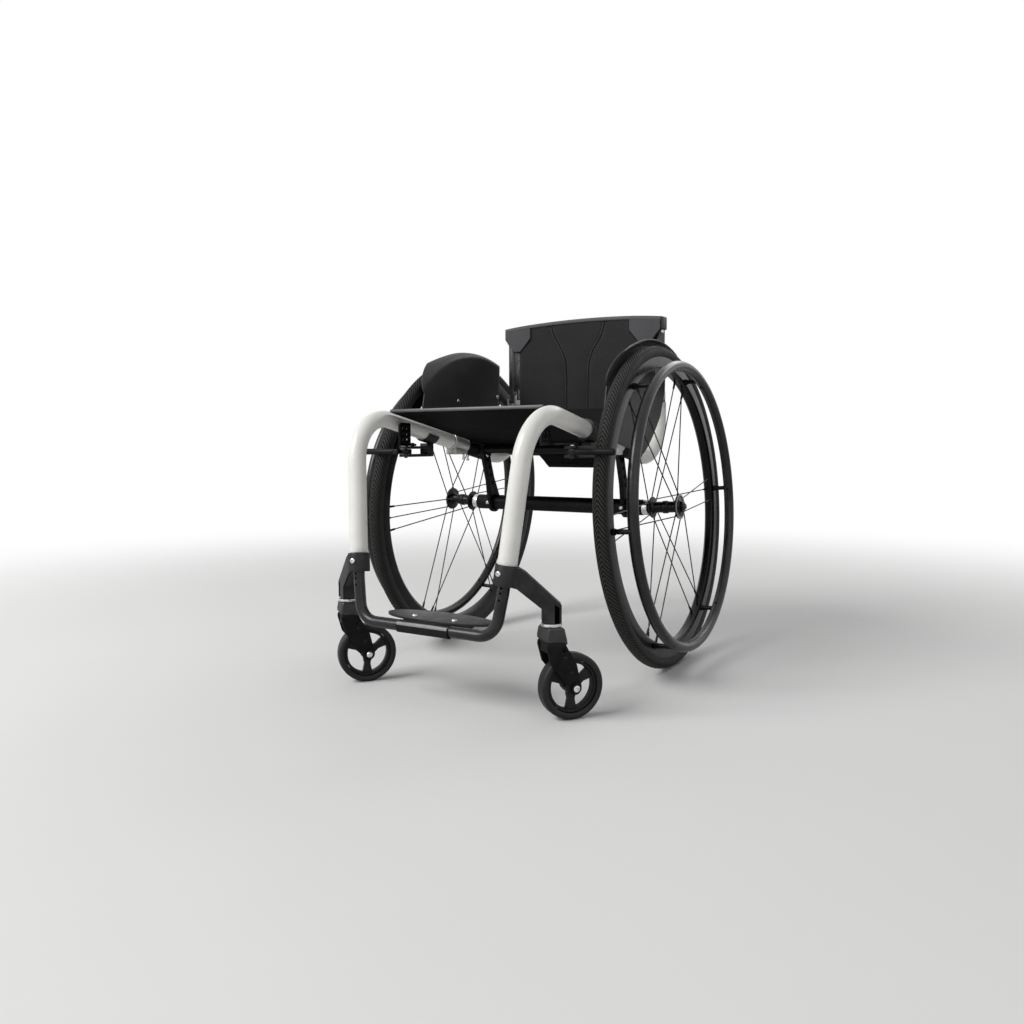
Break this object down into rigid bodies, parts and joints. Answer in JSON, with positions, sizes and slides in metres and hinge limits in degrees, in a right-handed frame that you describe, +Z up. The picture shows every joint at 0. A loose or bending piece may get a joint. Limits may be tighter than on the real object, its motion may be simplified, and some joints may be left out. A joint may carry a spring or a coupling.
{
  "type": "manual wheelchair",
  "caption": "Active manual wheelchair with a rigid open frame, cambered spoked wheels with hand rims, swivelling casters, scissor brakes and a folding back.",
  "frame": {"origin": "on the floor, under the middle of the whole chair's box", "axes": "+Z up; the chair faces -Y; its left side is +X"},
  "size_m": [0.5922, 0.7522, 0.679],
  "materials": {
    "white_enamel": "satin white enamel",
    "black_metal": "satin black anodised",
    "grey_metal": "satin grey",
    "bright_steel": "polished",
    "black_plastic": "fine texture",
    "guard": "matt charcoal",
    "back_cloth": "woven charcoal",
    "road_tyre": "treaded",
    "caster_rubber": "smooth"
  },
  "bodies": {
    "frame": {"side_tube_left": "white_enamel", "side_tube_right": "white_enamel", "tube_sleeve_left": "grey_metal", "tube_sleeve_right": "grey_metal", "axle_bracket_left": "black_metal", "axle_bracket_right": "black_metal", "rear_bend_left": "white_enamel", "rear_bend_right": "white_enamel", "side_guard_left": "guard", "side_guard_right": "guard", "caster_arm_left": "black_metal", "caster_arm_right": "black_metal", "headset_ring_left": "bright_steel", "headset_ring_right": "bright_steel", "clamp_bolt_left": "bright_steel", "clamp_bolt_right": "bright_steel", "footplate_screw_left": "bright_steel", "footplate_screw_right": "bright_steel", "back_hinge_bracket_left": "grey_metal", "back_hinge_bracket_right": "grey_metal", "brake_mount_left": "black_metal", "brake_mount_right": "black_metal", "camber_plug_left": "bright_steel", "camber_plug_right": "bright_steel", "quick_release_axle_left": "bright_steel", "quick_release_axle_right": "bright_steel", "axle_tube": "black_metal", "seat_cross_tube": "black_metal", "seat_plate": "black_plastic", "seat_edge_trim": "grey_metal", "foot_tube": "black_metal", "footplate": "black_plastic", "footplate_bracket": "black_metal", "back_flap": "back_cloth"},
    "backrest": {"back_cane_left": "black_metal", "back_cane_right": "black_metal", "back_bar": "black_metal", "back_upholstery": "back_cloth"},
    "rear_wheel_left": {"rear_tyre_left": "road_tyre", "rear_rim_left": "black_metal", "rear_hub_left": "black_metal", "handrim_left": "black_metal"},
    "release_left": {"release_button_left": "grey_metal"},
    "caster_swivel_left": {"caster_fork_left": "black_metal", "caster_axle_left": "bright_steel"},
    "caster_wheel_left": {"caster_tyre_left": "caster_rubber", "caster_wheel_left": "black_plastic"},
    "brake_arm_left": {"brake_arm_left": "black_metal"},
    "brake_lever_left": {"brake_lever_left": "black_metal"},
    "rear_wheel_right": {"rear_tyre_right": "road_tyre", "rear_rim_right": "black_metal", "rear_hub_right": "black_metal", "handrim_right": "black_metal"},
    "release_right": {"release_button_right": "grey_metal"},
    "caster_swivel_right": {"caster_fork_right": "black_metal", "caster_axle_right": "bright_steel"},
    "caster_wheel_right": {"caster_tyre_right": "caster_rubber", "caster_wheel_right": "black_plastic"},
    "brake_arm_right": {"brake_arm_right": "black_metal"},
    "brake_lever_right": {"brake_lever_right": "black_metal"}
  },
  "joints": [
    {"name": "back_fold", "type": "hinge", "parent": "frame", "child": "backrest", "pos_m": [0, 0.1921, 0.516], "axis": [1, 0, 0], "range_deg": [0, 90]},
    {"name": "rear_wheel_left_spin", "type": "hinge", "parent": "frame", "child": "rear_wheel_left", "pos_m": [0.2294, 0.0781, 0.29754], "axis": [0.9984, 0, 0.0569], "continuous": true},
    {"name": "release_left_press", "type": "slide", "parent": "frame", "child": "release_left", "axis": [-0.9984, 0, -0.0569], "range_m": [0, 0.0035], "stiffness_N_per_m": 300},
    {"name": "caster_left_swivel", "type": "hinge", "parent": "frame", "child": "caster_swivel_left", "pos_m": [0.2015, -0.3186, 0.15], "axis": [0, 0, 1], "continuous": true},
    {"name": "caster_left_roll", "type": "hinge", "parent": "caster_swivel_left", "child": "caster_wheel_left", "pos_m": [0.22037, -0.29338, 0.0508], "axis": [0.8007, -0.599, 0], "continuous": true},
    {"name": "brake_left_release", "type": "hinge", "parent": "frame", "child": "brake_arm_left", "pos_m": [0.17, -0.19151, 0.40296], "axis": [0, 0, -1], "range_deg": [0, 90]},
    {"name": "brake_left_lever", "type": "hinge", "parent": "frame", "child": "brake_lever_left", "pos_m": [0.166, -0.17651, 0.40296], "axis": [0, 0, -1], "range_deg": [0, 40]},
    {"name": "rear_wheel_right_spin", "type": "hinge", "parent": "frame", "child": "rear_wheel_right", "pos_m": [-0.2294, 0.0781, 0.29754], "axis": [-0.9984, 0, 0.0569], "continuous": true},
    {"name": "release_right_press", "type": "slide", "parent": "frame", "child": "release_right", "axis": [0.9984, 0, -0.0569], "range_m": [0, 0.0035], "stiffness_N_per_m": 300},
    {"name": "caster_right_swivel", "type": "hinge", "parent": "frame", "child": "caster_swivel_right", "pos_m": [-0.2015, -0.3186, 0.15], "axis": [0, 0, 1], "continuous": true},
    {"name": "caster_right_roll", "type": "hinge", "parent": "caster_swivel_right", "child": "caster_wheel_right", "pos_m": [-0.18263, -0.29338, 0.0508], "axis": [0.8007, -0.599, 0], "continuous": true},
    {"name": "brake_right_release", "type": "hinge", "parent": "frame", "child": "brake_arm_right", "pos_m": [-0.17, -0.19151, 0.40296], "axis": [0, 0, 1], "range_deg": [0, 90]},
    {"name": "brake_right_lever", "type": "hinge", "parent": "frame", "child": "brake_lever_right", "pos_m": [-0.166, -0.17651, 0.40296], "axis": [0, 0, 1], "range_deg": [0, 40]}
  ],
  "couplings": [
    {"joint": "brake_left_lever", "follows": "brake_left_release", "ratio": 0.44},
    {"joint": "brake_right_lever", "follows": "brake_right_release", "ratio": 0.44}
  ]
}
